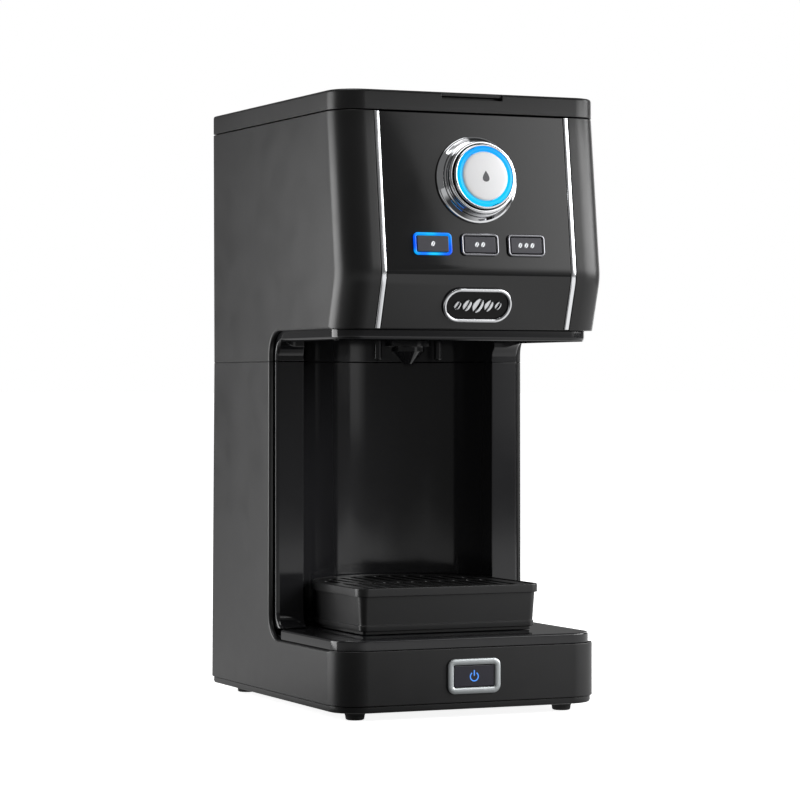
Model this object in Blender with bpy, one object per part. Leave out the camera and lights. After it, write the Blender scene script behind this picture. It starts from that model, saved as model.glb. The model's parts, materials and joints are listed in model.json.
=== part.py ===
"""Single-cup drip coffee maker, built from its separate pieces.

Sizes below are in millimetres and are scaled to metres where the meshes are made.
+Z is up, the controls face -Y, and X = 0 is the plane of symmetry.
"""
import math

import bpy
from mathutils import Matrix, Vector

MM = 0.001
GAP = 0.3                  # clearance between pieces that touch
SHIFT_Y, SHIFT_Z = -0.46, 2.02          # centres the machine on Y = 0 and stands its feet on Z = 0

# outer body
HALF_W = 73.4              # half width of the head and column
BASE_HALF_W = 73.7         # half width of the base
WALL = 2.5
FRONT_RADIUS = 15.0
BACK_RADIUS = 4.0
Z_COVER, Z_BASE = 2.4, 6.0             # underside of the bottom cover, bottom edge of the lower housing
Z_BASE_TOP, Z_DECK = 33.3, 38.6        # top edge of the base wall, top of the deck plate
Z_SEAM = 178.0                         # joint between lower and upper housings
Z_LIP, Z_HEAD = 188.2, 193.7           # lower edge of the liner lip, lower edge of the head
Z_RIDGE = 220.6                        # where the front of the head leans furthest out
Z_LID, Z_TOP = 302.5, 313.0            # joint under the lid, top of the lid
Y_BASE_FRONT = -83.5
Y_HEAD_LOW, Y_RIDGE, Y_TOP_FRONT = -83.1, -91.9, -81.8
Y_BACK_TOP, Y_BACK_SEAM, Y_BACK_BASE = 97.2, 96.2, 99.0
Y_COLUMN = 11.1                        # front edge of the outer column walls
Y_PILLAR = 8.8                         # front face of the inner pillars
CORNER = 12.0                          # inside corner radius of the bay in the outer walls
LINER_CORNER = 7.5                     # the same corner in the liners

# brewing axis, shared by the recess, the basket, the outlet and the back of the tray
AXIS_Y = -2.6
RECESS_R = 56.0
WELL_R = 47.8

# front panel, strips and controls
PANEL_HALF, STRIP_IN, STRIP_OUT, WINDOW_HALF = 51.0, 51.3, 53.9, 54.2
PANEL_T = 2.5
KNOB_V, MODE_V = 48.57, 15.6           # heights up the sloped panel, from the ridge
MODE_PITCH = 25.9
MODE_FRAME, MODE_CAP = (20.8, 11.3), (17.3, 8.2)
BADGE = (38.1, 17.7)
BADGE_Z = 206.1
POWER_Z = 19.2
POWER_FRAME, POWER_CAP = (29.3, 17.7), (22.1, 10.7)
START_TRAVEL, MODE_TRAVEL, POWER_TRAVEL = 1.5, 0.8, 1.5

# tray
TRAY_HALF, TRAY_FRONT = 51.3, -56.9
Z_TRAY_BOTTOM, Z_RIM_LOW, Z_RIM = 40.5, 58.4, 62.8

# hinge at the top of the back
HINGE_Y, HINGE_Z = 97.2, 302.5
KNUCKLE_R, PIN_R = 2.8, 1.0
HINGE_X = 40.0
NOTCH_HALF = 16.9          # half width of the finger slot under the front lip of the lid

FINISHES = {
    "black_satin": ((0.030, 0.030, 0.032), 0.42, 0.0),
    "black_gloss": ((0.014, 0.014, 0.016), 0.10, 0.0),
    "black_rubber": ((0.018, 0.018, 0.018), 0.85, 0.0),
    "chrome": ((0.82, 0.83, 0.85), 0.08, 1.0),
    "silver": ((0.62, 0.64, 0.66), 0.35, 0.8),
    "steel": ((0.60, 0.60, 0.62), 0.30, 1.0),
    "button_dark": ((0.055, 0.052, 0.068), 0.38, 0.0),
    "cap_white": ((0.80, 0.80, 0.82), 0.25, 0.2),
    "light_blue": ((0.02, 0.32, 1.00), 0.30, 0.0),
    "tank_clear": ((0.28, 0.30, 0.33), 0.12, 0.0),
    "board_green": ((0.03, 0.16, 0.07), 0.55, 0.0),
    "hose_silicone": ((0.72, 0.72, 0.70), 0.60, 0.0),
    "aluminium": ((0.66, 0.67, 0.68), 0.40, 1.0),
}


# ---------------------------------------------------------------- helpers
def point(x, y, z):
    return Vector((x * MM, (y + SHIFT_Y) * MM, (z + SHIFT_Z) * MM))


def make(name, points, faces, finish):
    """One object from points in millimetres, with its faces turned outwards."""
    mesh = bpy.data.meshes.new(name)
    mesh.from_pydata([point(*p) for p in points], [], faces)
    mesh.validate()
    if volume(mesh) < 0:
        mesh.flip_normals()
    obj = bpy.data.objects.new(name, mesh)
    bpy.context.scene.collection.objects.link(obj)
    paint(obj, finish)
    return obj


def volume(mesh):
    total = 0.0
    for face in mesh.polygons:
        corners = [mesh.vertices[i].co for i in face.vertices]
        for a, b in zip(corners[1:], corners[2:]):
            total += corners[0].dot(a.cross(b))
    return total


def paint(obj, finish):
    mat = bpy.data.materials.get(finish) or new_finish(finish)
    obj.data.materials.clear()
    obj.data.materials.append(mat)
    for face in obj.data.polygons:
        face.material_index = 0


def new_finish(finish):
    color, rough, metal = FINISHES[finish]
    mat = bpy.data.materials.new(finish)
    mat.use_nodes = True
    shader = mat.node_tree.nodes["Principled BSDF"]
    shader.inputs["Base Color"].default_value = (*color, 1.0)
    shader.inputs["Roughness"].default_value = rough
    shader.inputs["Metallic"].default_value = metal
    return mat


def stack(name, rings, finish, ring_shaped=False):
    """Body skinned over closed outlines: capped at both ends, or joined into a ring."""
    count = len(rings[0])
    points = [p for ring in rings for p in ring]
    faces = []
    spans = len(rings) if ring_shaped else len(rings) - 1
    for i in range(spans):
        low, high = i * count, (i + 1) % len(rings) * count
        for j in range(count):
            k = (j + 1) % count
            faces.append((low + j, low + k, high + k, high + j))
    if not ring_shaped:
        faces.append(tuple(range(count))[::-1])
        last = (len(rings) - 1) * count
        faces.append(tuple(last + j for j in range(count)))
    return make(name, points, faces, finish)


def rounded(x0, x1, y0, y1, radius, steps=6, back=None, back_steps=3):
    """Rectangle outline with rounded corners; the back corners may differ from the front ones."""
    back = radius if back is None else back
    corners = ((x1 - radius, y0 + radius, radius, -90, steps), (x1 - back, y1 - back, back, 0, back_steps),
               (x0 + back, y1 - back, back, 90, back_steps), (x0 + radius, y0 + radius, radius, 180, steps))
    outline = []
    for cx, cy, r, start, n in corners:
        for i in range(n + 1):
            angle = math.radians(start + 90 * i / n)
            outline.append((cx + r * math.cos(angle), cy + r * math.sin(angle)))
    return outline


def level(outline, z):
    return [(x, y, z) for x, y in outline]


def slab(name, outline, z0, z1, finish):
    return stack(name, [level(outline, z0), level(outline, z1)], finish)


def box(name, x0, x1, y0, y1, z0, z1, finish="black_satin"):
    return slab(name, [(x0, y0), (x1, y0), (x1, y1), (x0, y1)], z0, z1, finish)


def across(name, profile, x0, x1, finish):
    """Profile of (y, z) points extruded along X."""
    return stack(name, [[(x, y, z) for y, z in profile] for x in (x0, x1)], finish)


def turned(name, profile, finish, place=None, steps=32, hollow=False):
    """Profile of (radius, height) points turned about an axis; place maps local points to the machine."""
    place = place or (lambda u, v, w: (u, v + AXIS_Y, w))
    points, faces, rows = [], [], []
    for r, h in profile:
        if r == 0:
            rows.append([len(points)] * steps)
            points.append(place(0, 0, h))
            continue
        rows.append([len(points) + i for i in range(steps)])
        for i in range(steps):
            angle = 2 * math.pi * i / steps
            points.append(place(r * math.cos(angle), r * math.sin(angle), h))
    pairs = list(zip(rows, rows[1:])) + ([(rows[-1], rows[0])] if hollow else [])
    for low, high in pairs:
        for i in range(steps):
            j = (i + 1) % steps
            face = dict.fromkeys((low[i], low[j], high[j], high[i]))
            if len(face) > 2:
                faces.append(tuple(face))
    return make(name, points, faces, finish)


def tube(name, path, outer, finish, steps=12, inner=0.0):
    """Round tube along a path; inner radius 0 makes it solid."""
    centres = [Vector(p) for p in path]
    side = Vector((1, 0, 0))
    rings = []
    for i, centre in enumerate(centres):
        ahead = centres[min(i + 1, len(centres) - 1)] - centres[max(i - 1, 0)]
        ahead.normalize()
        side = (side - ahead * side.dot(ahead))
        side = side.normalized() if side.length > 0.01 else ahead.orthogonal().normalized()
        rings.append((centre, side.copy(), ahead.cross(side)))

    def skin(radius, items):
        return [[tuple(c + (s * math.cos(a) + t * math.sin(a)) * radius)
                 for a in (2 * math.pi * j / steps for j in range(steps))] for c, s, t in items]
    if not inner:
        return stack(name, skin(outer, rings), finish)
    return stack(name, skin(outer, rings) + skin(inner, rings[::-1]), finish, ring_shaped=True)


def combine(target, operation, *others):
    """Boolean of the target with each other body, keeping the target's name and finish."""
    finish = target.data.materials[0].name
    for other in others:
        modifier = target.modifiers.new(operation.lower(), "BOOLEAN")
        modifier.object, modifier.operation, modifier.solver = other, operation, "EXACT"
        bpy.context.view_layer.update()
        graph = bpy.context.evaluated_depsgraph_get()
        mesh = bpy.data.meshes.new_from_object(target.evaluated_get(graph))
        target.modifiers.clear()
        target.data = mesh
        bpy.data.objects.remove(other)
    target.data.name = target.name
    paint(target, finish)
    return target


def cut(target, *others):
    return combine(target, "DIFFERENCE", *others)


def fuse(target, *others):
    return combine(target, "UNION", *others)


def pivot(obj, where):
    """Move the object's origin to a point in millimetres without moving its mesh."""
    origin = point(*where)
    obj.data.transform(Matrix.Translation(-origin))
    obj.location = origin
    return obj


# ---------------------------------------------------------------- shared shapes
UP_RUN = Vector((0, Y_TOP_FRONT - Y_RIDGE, Z_LID - Z_RIDGE)).normalized()
UP_OUT = Vector((0, -UP_RUN.z, UP_RUN.y))
LOW_RUN = Vector((0, Y_RIDGE - Y_HEAD_LOW, Z_RIDGE - Z_HEAD)).normalized()
LOW_OUT = Vector((0, -LOW_RUN.z, LOW_RUN.y))


def on_panel(u, v, w):
    """Point on the sloped control panel: across, up from the ridge, and out from its face."""
    return tuple(Vector((u, Y_RIDGE, Z_RIDGE)) + UP_RUN * v + UP_OUT * w)


def on_badge(u, v, w):
    """Point on the lower slope, measured from the badge centre."""
    v += (BADGE_Z - Z_RIDGE) / LOW_RUN.z
    return tuple(Vector((u, Y_RIDGE, Z_RIDGE)) + LOW_RUN * v + LOW_OUT * w)


def on_base(u, v, w):
    """Point on the front of the base, measured from the power button's centre."""
    return (u, Y_BASE_FRONT - w, POWER_Z + v)


def front_y(z):
    if z >= Z_RIDGE:
        return Y_RIDGE + (z - Z_RIDGE) * (Y_TOP_FRONT - Y_RIDGE) / (Z_LID - Z_RIDGE)
    return Y_RIDGE + (Z_RIDGE - z) * (Y_HEAD_LOW - Y_RIDGE) / (Z_RIDGE - Z_HEAD)


def back_y(z):
    if z >= Z_SEAM:
        return Y_BACK_SEAM + (z - Z_SEAM) * (Y_BACK_TOP - Y_BACK_SEAM) / (Z_LID - Z_SEAM)
    return Y_BACK_SEAM + (Z_SEAM - z) * (Y_BACK_BASE - Y_BACK_SEAM) / (Z_SEAM - Z_BASE)


def skin_line(out, z_low, z_high):
    """Points (y, z) up the bent front face, offset outwards by out."""
    shift = [(Y_RIDGE + UP_OUT.y * out, Z_RIDGE + UP_OUT.z * out), (UP_RUN.y, UP_RUN.z),
             (Y_RIDGE + LOW_OUT.y * out, Z_RIDGE + LOW_OUT.z * out), (LOW_RUN.y, LOW_RUN.z)]
    (uy, uz), (ua, ub), (ly, lz), (la, lb) = shift
    k = ((uy - ly) * ub - (uz - lz) * ua) / (la * ub - lb * ua)
    ridge = (ly + la * k, lz + lb * k)
    low = (ly + la * (z_low - lz) / lb, z_low)
    high = (uy + ua * (z_high - uz) / ub, z_high)
    return [low, ridge, high]


def bay(y_back, z_low, z_high, radius, steps=6):
    """Side profile (y, z) of the open cup bay, with rounded back corners."""
    profile = [(-160, z_low)]
    for i in range(steps + 1):
        angle = math.radians(-90 + 90 * i / steps)
        profile.append((y_back - radius + radius * math.cos(angle), z_low + radius + radius * math.sin(angle)))
    for i in range(steps + 1):
        angle = math.radians(90 * i / steps)
        profile.append((y_back - radius + radius * math.cos(angle), z_high - radius + radius * math.sin(angle)))
    return profile + [(-160, z_high)]


def ring_on(place, width, height, radius, out, steps=4):
    return [place(x, y, out) for x, y in
            rounded(-width / 2, width / 2, -height / 2, height / 2, radius, steps, back_steps=steps)]


# ---------------------------------------------------------------- housings
def upper_housing():
    def ring(z, inset, front_inset, radius, back):
        return level(rounded(-HALF_W + inset, HALF_W - inset, front_y(z) + front_inset, back_y(z) - inset,
                             radius, back=back), z)
    heights = [Z_SEAM, Z_HEAD, Z_RIDGE - 1.6, Z_RIDGE + 0.8, Z_LID]
    outer = [ring(z, 0, 0.12 if abs(z - Z_RIDGE) < 3 else 0, FRONT_RADIUS, BACK_RADIUS) for z in heights]
    inner = [ring(z, WALL, 5.3, 12.0, 1.6) for z in heights[::-1]]
    body = stack("upper_housing", outer + inner, "black_satin", ring_shaped=True)
    low, ridge, high = skin_line(-PANEL_T - GAP, Z_HEAD - 5, Z_LID + 5)
    window = across("cut", [(-130, low[1]), low, ridge, high, (-130, high[1])], -WINDOW_HALF, WINDOW_HALF,
                    "black_satin")
    opening = box("cut", -46, 46, -130, -60, Z_HEAD + 6, Z_LID - 6)
    cut(body, across("cut", bay(Y_COLUMN, Z_SEAM - 60, Z_HEAD, CORNER), -90, 90, "black_satin"),
        window, opening)
    for side in (-1, 1):
        for x in (-10.3, 10.3):
            centre = side * HINGE_X + x
            knuckle = hinge_barrel("add", centre - 4, centre + 4, KNUCKLE_R)
            fuse(body, knuckle)
        cut(body, hinge_barrel("cut", side * HINGE_X - 6.3, side * HINGE_X + 6.3, KNUCKLE_R + GAP),
            hinge_barrel("cut", side * HINGE_X - 20, side * HINGE_X + 20, PIN_R + GAP))
    return body


def hinge_barrel(name, x0, x1, radius, finish="black_satin"):
    circle = [(HINGE_Y + radius * math.cos(a), HINGE_Z + radius * math.sin(a))
              for a in (2 * math.pi * i / 16 for i in range(16))]
    return across(name, circle, x0, x1, finish)


def front_panel():
    outer = skin_line(0, Z_HEAD + GAP, Z_LID - GAP)
    inner = skin_line(-PANEL_T, Z_HEAD + GAP, Z_LID - GAP)[::-1]
    panel = across("front_panel", outer + inner, -PANEL_HALF, PANEL_HALF, "black_gloss")
    cut(panel, turned("cut", [(0, -8), (19.0, -8), (19.0, 8), (0, 8)], "black_gloss",
                      lambda u, v, w: on_panel(u, KNOB_V + v, w)))
    for i in (-1, 0, 1):
        centre = i * MODE_PITCH
        rings = [ring_on(lambda u, v, w: on_panel(centre + u, MODE_V + v, w), 19.8, 10.3, 1.6, w, 2)
                 for w in (-8, 8)]
        cut(panel, stack("cut", rings, "black_gloss"))
    return panel


def trim_strips():
    for name, side in (("trim_strip_left", -1), ("trim_strip_right", 1)):
        profile = skin_line(0.4, Z_HEAD + GAP, Z_LID - GAP) + skin_line(-PANEL_T, Z_HEAD + GAP,
                                                                       Z_LID - GAP)[::-1]
        x0, x1 = sorted((side * STRIP_IN, side * STRIP_OUT))
        across(name, profile, x0, x1, "chrome")


def recess_hollow(name, radius, z0, z1):
    return turned(name, [(0, z0), (radius, z0), (radius, z1), (0, z1)], "black_gloss", steps=44)


def liner_back_cut(z0, z1):
    """Space behind the recess wall and the pillars."""
    body = box("cut", -68.2, 68.2, Y_PILLAR + 2.2, 80, z0, z1, "black_gloss")
    return cut(body, recess_hollow("cut", RECESS_R + 2.2, z0 - 1, z1 + 1))


def upper_liner():
    """Lip round the underside of the head, bay ceiling and the top of the pillars."""
    inset = 3.0
    x = HALF_W - inset
    low = rounded(-x, x, front_y(Z_LIP) + inset, 56.2, 12.5, back=1.0)
    high = rounded(-x, x, front_y(Z_HEAD) + 5.9, 56.2, 12.0, back=1.0)
    body = stack("upper_liner", [level(low, Z_SEAM + GAP), level(low, Z_HEAD - 0.2),
                                 level(high, Z_HEAD + 0.2), level(high, 199)], "black_gloss")
    inside = rounded(-x + 2.4, x - 2.4, Y_HEAD_LOW + 8.4, Y_PILLAR - 2, 8.0)
    above = rounded(-x + 2.4, x - 2.4, Y_HEAD_LOW + 10.4, Y_PILLAR - 2, 6.0)
    cut(body, across("cut", bay(Y_PILLAR, Z_SEAM - 60, Z_LIP, LINER_CORNER), -90, 90, "black_gloss"),
        slab("cut", inside, Z_LIP - 10, 191.0, "black_gloss"),
        recess_hollow("cut", RECESS_R, Z_SEAM - 10, 191.0),
        box("cut", -53, 53, -20, 12, Z_SEAM - 10, 191.0),
        liner_back_cut(Z_SEAM - 5, 205), slab("cut", above, 193.2, 205, "black_gloss"),
        recess_hollow("cut", 50.0, 193.3, 205))
    cut(body, turned("cut", [(0, 185), (13.2, 185), (13.2, 205), (0, 205)], "black_gloss"))
    for side in (-1, 1):
        fuse(body, turned("add", [(0, 178.8), (1.6, 178.8), (2.1, 179.4), (2.1, 192), (0, 192)],
                          "black_gloss", lambda u, v, w: (side * 17.3 + u, AXIS_Y + v, w), steps=16))
    return body


def lower_housing():
    def ring(z, inset, radius, back):
        half = BASE_HALF_W + (HALF_W - BASE_HALF_W) * max(0, (z - Z_BASE_TOP)) / (Z_SEAM - Z_BASE_TOP)
        return level(rounded(-half + inset, half - inset, Y_BASE_FRONT + inset, back_y(z) - inset,
                             radius, back=back), z)
    heights = [Z_BASE, Z_BASE_TOP, Z_SEAM - GAP]
    outer = [ring(z, 0, 16.4, BACK_RADIUS) for z in heights]
    inner = [ring(z, WALL, 13.9, 1.6) for z in heights[::-1]]
    body = stack("lower_housing", outer + inner, "black_satin", ring_shaped=True)
    cut(body, across("cut", bay(Y_COLUMN, Z_BASE_TOP, Z_SEAM + 60, CORNER), -90, 90, "black_satin"))
    rings = [ring_on(on_base, 24.8, 13.4, 2.2, w, 3) for w in (-12, 12)]
    cut(body, stack("cut", rings, "black_satin"))
    for x in (-64.5, 64.5):
        for y in (-52, 64):
            x0, x1 = sorted((x - math.copysign(4, x), x + math.copysign(7.2, x)))
            fuse(body, box("add", x0, x1, y - 5, y + 5, 12, 32))
            cut(body, turned("cut", [(0, 5), (1.8, 5), (1.8, 26), (0, 26)], "black_satin",
                             lambda u, v, w: (x + u, y + v, w), steps=16))
    cut(body, turned("cut", [(0, 80), (5.3, 80), (5.3, 120), (0, 120)], "black_satin",
                     lambda u, v, w: (-45 + u, w, 20 + v), steps=24))
    return body


def lower_liner():
    """Two flat pillars with the concave recess wall between them."""
    x = HALF_W - 3.0
    outline = [(-x, 1.0), (x, 1.0), (x, 56.2), (-x, 56.2)]
    body = slab("lower_liner", outline, Z_DECK + GAP, Z_SEAM - GAP, "black_gloss")
    return cut(body, across("cut", bay(Y_PILLAR, Z_DECK + 0.9, Z_SEAM + 60, LINER_CORNER), -90, 90,
                            "black_gloss"),
               recess_hollow("cut", RECESS_R, 20, 200), liner_back_cut(20, 200))


def deck_plate():
    front, back, edge = BASE_HALF_W - 2.0, HALF_W - 3.0, 14.4
    outline = rounded(-front, front, Y_BASE_FRONT + 2.0, 100, edge)
    half = [p for p in outline if p[1] < 0]
    right = [p for p in half if p[0] > 0]
    left = [p for p in half if p[0] < 0]
    plan = left + right + [(front, -1.5), (back, -1.5), (back, 60), (-back, 60), (-back, -1.5), (-front, -1.5)]

    def shrunk(by):
        return [(x - math.copysign(by, x), y + (by if y < -60 else 0)) for x, y in plan]
    return stack("deck_plate", [level(plan, Z_BASE_TOP + GAP), level(plan, Z_DECK - 0.8),
                                level(shrunk(0.8), Z_DECK)], "black_gloss")


def base_cover():
    def ring(inset, z):
        half = BASE_HALF_W - 1.0 - inset
        return level(rounded(-half, half, Y_BASE_FRONT + 1 + inset, Y_BACK_BASE - 1 - inset,
                             15.4 - inset, back=max(3 - inset, 0.6)), z)
    body = stack("base_cover", [ring(1.2, Z_COVER), ring(0, Z_COVER + 1.2), ring(0, Z_BASE - GAP),
                                ring(1.9, Z_BASE - GAP), ring(1.9, 10.5), ring(3.7, 10.5),
                                ring(3.7, 4.6)], "black_satin")
    for x in (-64.5, 64.5):
        for y in (-52, 64):
            cut(body, turned("cut", [(0, 0), (3.6, 0), (3.6, 12), (0, 12)], "black_satin",
                             lambda u, v, w: (x + u, y + v, w), steps=20))
    for i in range(6):
        cut(body, box("cut", 14 + i * 7, 17 + i * 7, -20, 20, 0, 9))
    return body


def feet():
    profile = [(0, -SHIFT_Z), (4.2, -SHIFT_Z), (4.8, -1.3), (5.1, 0.8), (6.2, 1.6), (6.2, Z_COVER - GAP),
               (0, Z_COVER - GAP)]
    for name, x, y in (("foot_front_left", -58, -67), ("foot_front_right", 58, -67),
                       ("foot_back_left", -58, 84), ("foot_back_right", 58, 84)):
        turned(name, profile, "black_rubber", lambda u, v, w: (x + u, y + v, w), steps=28)


def cover_screws():
    for name, x, y in (("screw_front_left", -64.5, -52), ("screw_front_right", 64.5, -52),
                       ("screw_back_left", -64.5, 64), ("screw_back_right", 64.5, 64)):
        turned(name, [(0, 9.0), (3.2, 9.0), (3.2, 11.4), (1.5, 11.4), (1.5, 24.0), (0, 25.0)],
               "steel", lambda u, v, w: (x + u, y + v, w), steps=16)


# ---------------------------------------------------------------- inside the head
def inner_deck():
    """Plate under the lid with the well for the basket and the mouth of the tank."""
    plan = rounded(-70.4, 70.4, front_y(299) + 5.9, 94.2, 12.0, back=1.4)
    body = slab("inner_deck", plan, 297.3, 299.5, "black_satin")
    profile = [(14.2, 200), (WELL_R + 2, 200), (WELL_R + 2, 298.5), (WELL_R, 298.5), (WELL_R, 202.2),
               (14.2, 202.2)]
    cut(body, turned("cut", [(0, 290), (WELL_R, 290), (WELL_R, 305), (0, 305)], "black_satin"))
    cut(body, slab("cut", rounded(-61, 61, 60.5, 88, 6), 290, 305, "black_satin"))
    cut(body, turned("cut", [(0, 290), (4.3, 290), (4.3, 305), (0, 305)], "black_satin",
                     lambda u, v, w: (20 + u, 52 + v, w), steps=20))
    return fuse(body, turned("add", profile, "black_satin", hollow=True))


def water_tank():
    def ring(inset, z):
        return level(rounded(-64 + inset, 64 - inset, 57.5 + inset, 91 - inset, 7 - inset), z)
    body = stack("water_tank", [ring(1.5, 208), ring(0, 210), ring(0, 297), ring(2, 297), ring(2, 211),
                                ring(2.8, 210)], "tank_clear")
    nipple = turned("add", [(0, 199), (4, 199), (4, 209), (0, 209)], "tank_clear",
                    lambda u, v, w: (-36 + u, 74 + v, w), steps=20)
    fuse(body, nipple)
    return cut(body, turned("cut", [(0, 190), (2.4, 190), (2.4, 220), (0, 220)], "tank_clear",
                            lambda u, v, w: (-36 + u, 74 + v, w), steps=20))


def tank_strainer():
    profile = [(0, 213.4), (5.0, 213.4), (5.0, 210.3), (6.2, 210.3), (6.2, 214.6), (0, 214.6)]
    turned("tank_strainer", profile, "steel", lambda u, v, w: (-36 + u, 74 + v, w), steps=24)


def brew_basket():
    profile = [(1.6, 176.9), (2.6, 176.9), (8.7, 183.4), (8.7, 185.6), (12.3, 186.2), (12.3, 203),
               (36, 205), (42, 214), (45.2, 293), (47.2, 293.8), (47.2, 296), (43.4, 296), (40.2, 215),
               (35, 207.6), (6.0, 205.2), (6.0, 186.4), (1.6, 180)]
    turned("brew_basket", profile, "black_satin", hollow=True, steps=36)


def drip_valve():
    turned("drip_valve", [(0, 181.6), (4.4, 187.2), (4.4, 190), (1.6, 190.3), (1.6, 199), (4.8, 199.3),
                          (4.8, 201), (0, 201)], "hose_silicone", steps=20)


def mesh_filter():
    profile = [(0, 212.4), (22, 212.4), (42.0, 296.3), (46.6, 296.3), (46.6, 297.2), (41.2, 297.2),
               (21.4, 213.4), (0, 213.4)]
    turned("mesh_filter", profile, "steel", steps=32)


# ---------------------------------------------------------------- lid
def lid():
    def ring(inset, z, radius=FRONT_RADIUS):
        return level(rounded(-HALF_W + inset, HALF_W - inset, Y_TOP_FRONT + inset, Y_BACK_TOP - inset,
                             radius - inset, back=max(BACK_RADIUS - inset, 1.0)), z)
    low = Z_LID + 0.5
    body = stack("lid", [ring(0, low), ring(0, Z_TOP - 1.3), ring(0.4, Z_TOP - 0.4), ring(1.3, Z_TOP)],
                 "black_satin")
    inside = rounded(-HALF_W + WALL, HALF_W - WALL, Y_TOP_FRONT + 7.0, Y_BACK_TOP - WALL, 10.0, back=1.5)
    finger_slot = [(-100, Z_TOP - 3.4), (Y_TOP_FRONT + 4.5, Z_TOP - 3.4), (Y_TOP_FRONT + 4.5, Z_TOP - 2.0),
                   (Y_TOP_FRONT + 1.2, Z_TOP - 2.0), (Y_TOP_FRONT + 1.2, Z_TOP + 5), (-100, Z_TOP + 5)]
    cut(body, slab("cut", inside, low - 2, Z_TOP - 2.4, "black_satin"),
        across("cut", finger_slot, -NOTCH_HALF, NOTCH_HALF, "black_satin"))
    for side in (-1, 1):
        x = side * HINGE_X
        fuse(body, hinge_barrel("add", x - 6, x + 6, KNUCKLE_R))
        cut(body, hinge_barrel("cut", x - 14.6, x - 6, KNUCKLE_R + GAP),
            hinge_barrel("cut", x + 6, x + 14.6, KNUCKLE_R + GAP),
            hinge_barrel("cut", x - 20, x + 20, PIN_R + GAP))
    return pivot(body, (0, HINGE_Y, HINGE_Z))


def lid_inner():
    """Water guide under the lid: a plate with a raised channel from the hot outlet to the shower."""
    plan = rounded(-70.3, 70.3, Y_TOP_FRONT + 7.6, 90.5, 10.0, back=2.0)
    body = slab("lid_inner", plan, 303.4, 305.2, "black_satin")
    channel = slab("add", rounded(-8, 28, -20, 60, 6), 304.6, 309.8, "black_satin")
    fuse(body, channel)
    cut(body, slab("cut", rounded(-6.2, 26.2, -18.2, 58.2, 4.5), 305.2, 320, "black_satin"))
    hole = turned("cut", [(0, 290), (6.5, 290), (6.5, 307), (0, 307)], "black_satin",
                  lambda u, v, w: (20 + u, 52 + v, w), steps=24)
    spout = turned("cut", [(0, 290), (5, 290), (5, 307), (0, 307)], "black_satin", steps=24)
    return pivot(cut(body, hole, spout), (0, HINGE_Y, HINGE_Z))


def shower_plate():
    body = turned("shower_plate", [(0, 300.2), (29, 300.2), (30, 301.2), (30, 303.1), (27.5, 303.1),
                                   (27.5, 301.8), (0, 301.8)], "black_satin")
    for i in range(6):
        angle = 2 * math.pi * i / 6
        cut(body, turned("cut", [(0, 295), (1.3, 295), (1.3, 302.4), (0, 302.4)], "black_satin",
                         lambda u, v, w: (17 * math.cos(angle) + u, AXIS_Y + 17 * math.sin(angle) + v, w),
                         steps=8))
    return pivot(body, (0, HINGE_Y, HINGE_Z))


def hinge_pins():
    for name, side in (("hinge_pin_left", -1), ("hinge_pin_right", 1)):
        x = side * HINGE_X
        across(name, [(HINGE_Y + PIN_R * math.cos(a), HINGE_Z + PIN_R * math.sin(a))
                      for a in (2 * math.pi * i / 16 for i in range(16))], x - 14.2, x + 14.2, "steel")


# ---------------------------------------------------------------- controls
def on_knob(u, v, w):
    return on_panel(u, KNOB_V + v, w)


def knob_bezel():
    profile = [(17.0, -3.2), (18.7, -3.2), (18.7, GAP), (22.2, GAP), (22.2, 1.6), (21.3, 2.9), (20.1, 3.7),
               (19.5, 4.3), (19.5, 5.6), (18.9, 6.3), (18.8, 8.2), (18.2, 9.0), (17.0, 9.0)]
    turned("knob_bezel", profile, "chrome", on_knob, hollow=True, steps=40)


def start_button():
    rim = turned("start_rim", [(15.3, -4.0), (16.5, -4.0), (16.5, 10.2), (15.9, 11.1), (15.3, 11.1)],
                 "chrome", on_knob, hollow=True, steps=40)
    light = turned("start_light_ring", [(12.8, 4.0), (15.0, 4.0), (15.0, 10.9), (14.4, 11.3),
                                        (13.4, 11.3), (12.8, 10.9)], "light_blue", on_knob, hollow=True,
                   steps=40)
    cap = turned("start_cap", [(0, -6.6), (5, -6.6), (5, -0.2), (12.5, 0), (12.5, 10.8), (11.6, 11.7),
                               (8, 12.0), (0, 12.1)], "cap_white", on_knob, steps=36)
    for obj in (rim, light, cap):
        pivot(obj, on_knob(0, 0, 0))


def framed(name_frame, name_cap, place, frame, cap, radius, heights, lit):
    """A rectangular button cap in its frame; heights are (flange, cap front, cap back, sleeve back)."""
    flange, front, back, sleeve = heights
    inner = (cap[0] + 0.6, cap[1] + 0.6)
    outer = (inner[0] + 1.2, inner[1] + 1.2)
    rings = [ring_on(place, *outer, 1.2, sleeve, 4), ring_on(place, *outer, 1.2, GAP, 4),
             ring_on(place, *frame, radius, GAP, 4), ring_on(place, *frame, radius, flange - 0.3, 4),
             ring_on(place, frame[0] - 0.8, frame[1] - 0.8, radius - 0.4, flange, 4),
             ring_on(place, *inner, 0.8, flange, 4), ring_on(place, *inner, 0.8, sleeve, 4)]
    stack(name_frame, rings, lit, ring_shaped=True)
    body = stack(name_cap, [ring_on(place, cap[0], cap[1], 0.5, back, 4),
                            ring_on(place, cap[0], cap[1], 0.5, front - 0.4, 4),
                            ring_on(place, cap[0] - 0.8, cap[1] - 0.8, 0.4, front, 4)], "button_dark")
    return pivot(body, place(0, 0, 0))


def mode_buttons():
    for i, name, lit in ((-1, "mild", "light_blue"), (0, "medium", "silver"), (1, "strong", "silver")):
        framed(f"frame_{name}", f"button_{name}",
               lambda u, v, w: on_panel(i * MODE_PITCH + u, MODE_V + v, w),
               MODE_FRAME, MODE_CAP, 2.4, (1.4, 1.1, -6.8, -3.2), lit)


def power_button():
    framed("power_frame", "button_power", on_base, POWER_FRAME, POWER_CAP, 4.0,
           (1.5, 0.9, -6.5, -3.4), "silver")


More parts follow.
